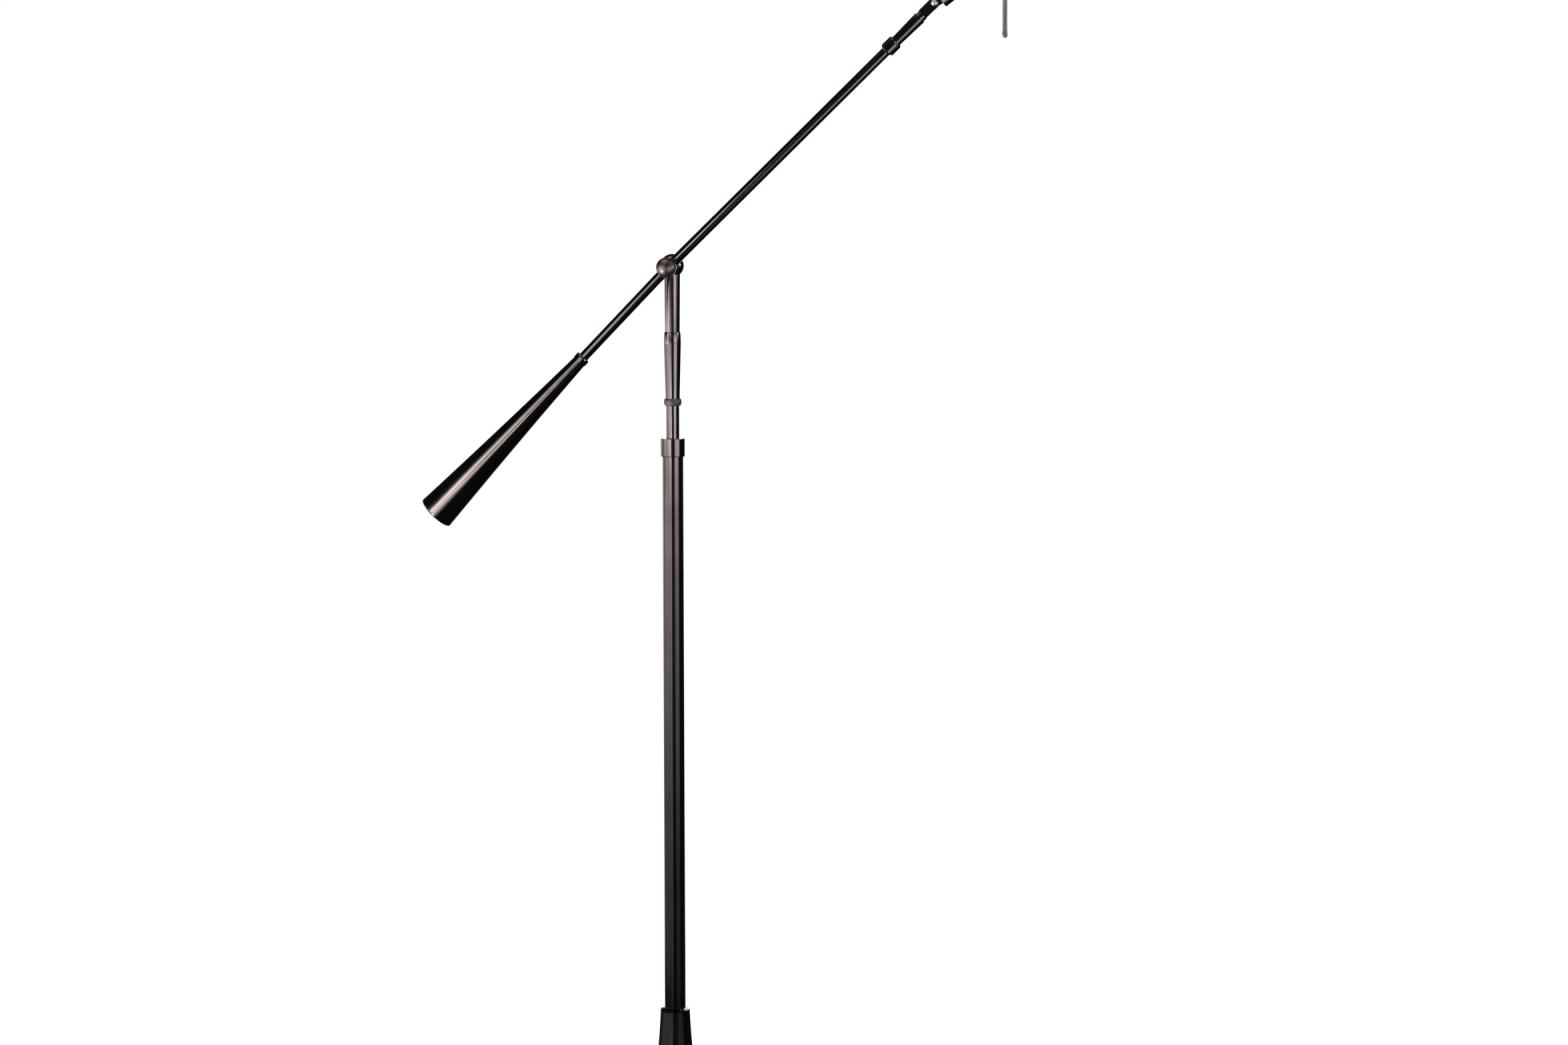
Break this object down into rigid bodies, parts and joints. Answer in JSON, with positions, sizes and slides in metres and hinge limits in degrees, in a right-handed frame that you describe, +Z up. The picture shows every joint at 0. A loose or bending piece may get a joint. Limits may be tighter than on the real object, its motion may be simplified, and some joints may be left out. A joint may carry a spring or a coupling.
{
  "type": "floor lamp",
  "caption": "Counterbalanced floor lamp with a round weighted base, sliding stem, tilting boom with a cone counterweight, and a linen shade on a tilting head with a pull switch.",
  "frame": {"origin": "centre of the base's underside, on the floor", "axes": "+Z up along the column, +X towards the shade along the boom, -Y towards the ball knob that tightens the boom"},
  "size_m": [0.9284, 0.3559, 1.7559],
  "materials": {
    "bronze": "polished dark oil-rubbed bronze",
    "weight_iron": "rough cast",
    "pad_rubber": "matte",
    "steel": "zinc plated",
    "nylon": "moulded black nylon",
    "brass": "satin lacquered",
    "phenolic": "moulded phenolic",
    "bulb_metal": "rolled thread",
    "bulb_diffuser": "frosted",
    "linen": "off-white linen on a stiff liner"
  },
  "bodies": {
    "base": {"floor_pad": "pad_rubber", "base_weight": "weight_iron", "base_cover": "bronze", "lead_bushing": "pad_rubber", "clamp_washer": "steel", "clamp_nut": "steel", "tie_rod": "steel", "foot_cone": "bronze", "foot_ring": "bronze", "column_tube": "bronze", "column_plug": "steel", "column_bush": "nylon"},
    "collar": {"lock_collar": "bronze"},
    "mast": {"slide_tube": "bronze", "guide_bush": "nylon", "bead_ring": "bronze", "cone_cup": "bronze", "neck_washer": "nylon"},
    "swivel": {"neck": "bronze", "neck_bolt": "steel", "neck_ball": "bronze", "pivot_stud": "steel", "rear_friction_washer": "nylon"},
    "boom": {"boom_hub": "bronze", "front_rod": "bronze", "front_collar": "bronze", "boom_ferrule": "bronze", "clevis": "bronze", "knuckle_screw": "steel", "knuckle_nut": "steel", "rear_rod": "bronze", "weight_ring": "bronze", "counterweight": "bronze", "weight_screw": "steel"},
    "knob": {"ball_knob": "bronze", "front_friction_washer": "nylon"},
    "head": {"head_tongue": "bronze", "stem_ferrule": "bronze", "head_stem": "bronze", "stem_nipple": "steel", "harp_saddle": "brass", "holder_nut": "brass", "holder_cap": "brass", "holder_shell": "brass", "holder_core": "phenolic", "screw_shell": "brass", "chain_guide": "brass", "harp": "brass", "harp_sleeves": "brass", "bulb_cap": "bulb_metal", "bulb_collar": "bulb_diffuser", "bulb_dome": "bulb_diffuser", "shade_spider": "brass", "shade_lower_ring": "steel", "shade_wall_cloth": "linen", "finial": "bronze"},
    "pull": {"pull_chain": "bronze", "pull_bar": "bronze"}
  },
  "joints": [
    {"name": "collar_twist", "type": "hinge", "parent": "base", "child": "collar", "pos_m": [0, 0, 0.8935], "axis": [0, 0, 1], "range_deg": [0, 90]},
    {"name": "height_slide", "type": "slide", "parent": "base", "child": "mast", "axis": [0, 0, 1], "range_m": [-0.036, 0.25]},
    {"name": "neck_swivel", "type": "hinge", "parent": "mast", "child": "swivel", "pos_m": [0, 0, 1.0355], "axis": [0, 0, 1], "range_deg": [-170, 170]},
    {"name": "boom_tilt", "type": "hinge", "parent": "swivel", "child": "boom", "pos_m": [0, -0.01955, 1.11535], "axis": [0, -1, 0], "range_deg": [-50, 33]},
    {"name": "knob_turn", "type": "hinge", "parent": "swivel", "child": "knob", "pos_m": [0, -0.037, 1.11535], "axis": [0, -1, 0], "range_deg": [-180, 180]},
    {"name": "head_tilt", "type": "hinge", "parent": "boom", "child": "head", "pos_m": [0.32687, -0.01955, 1.43545], "axis": [0, -1, 0], "range_deg": [-45, 35]},
    {"name": "pull_switch", "type": "slide", "parent": "head", "child": "pull", "axis": [0, 0, -1], "range_m": [0, 0.008], "stiffness_N_per_m": 600}
  ]
}
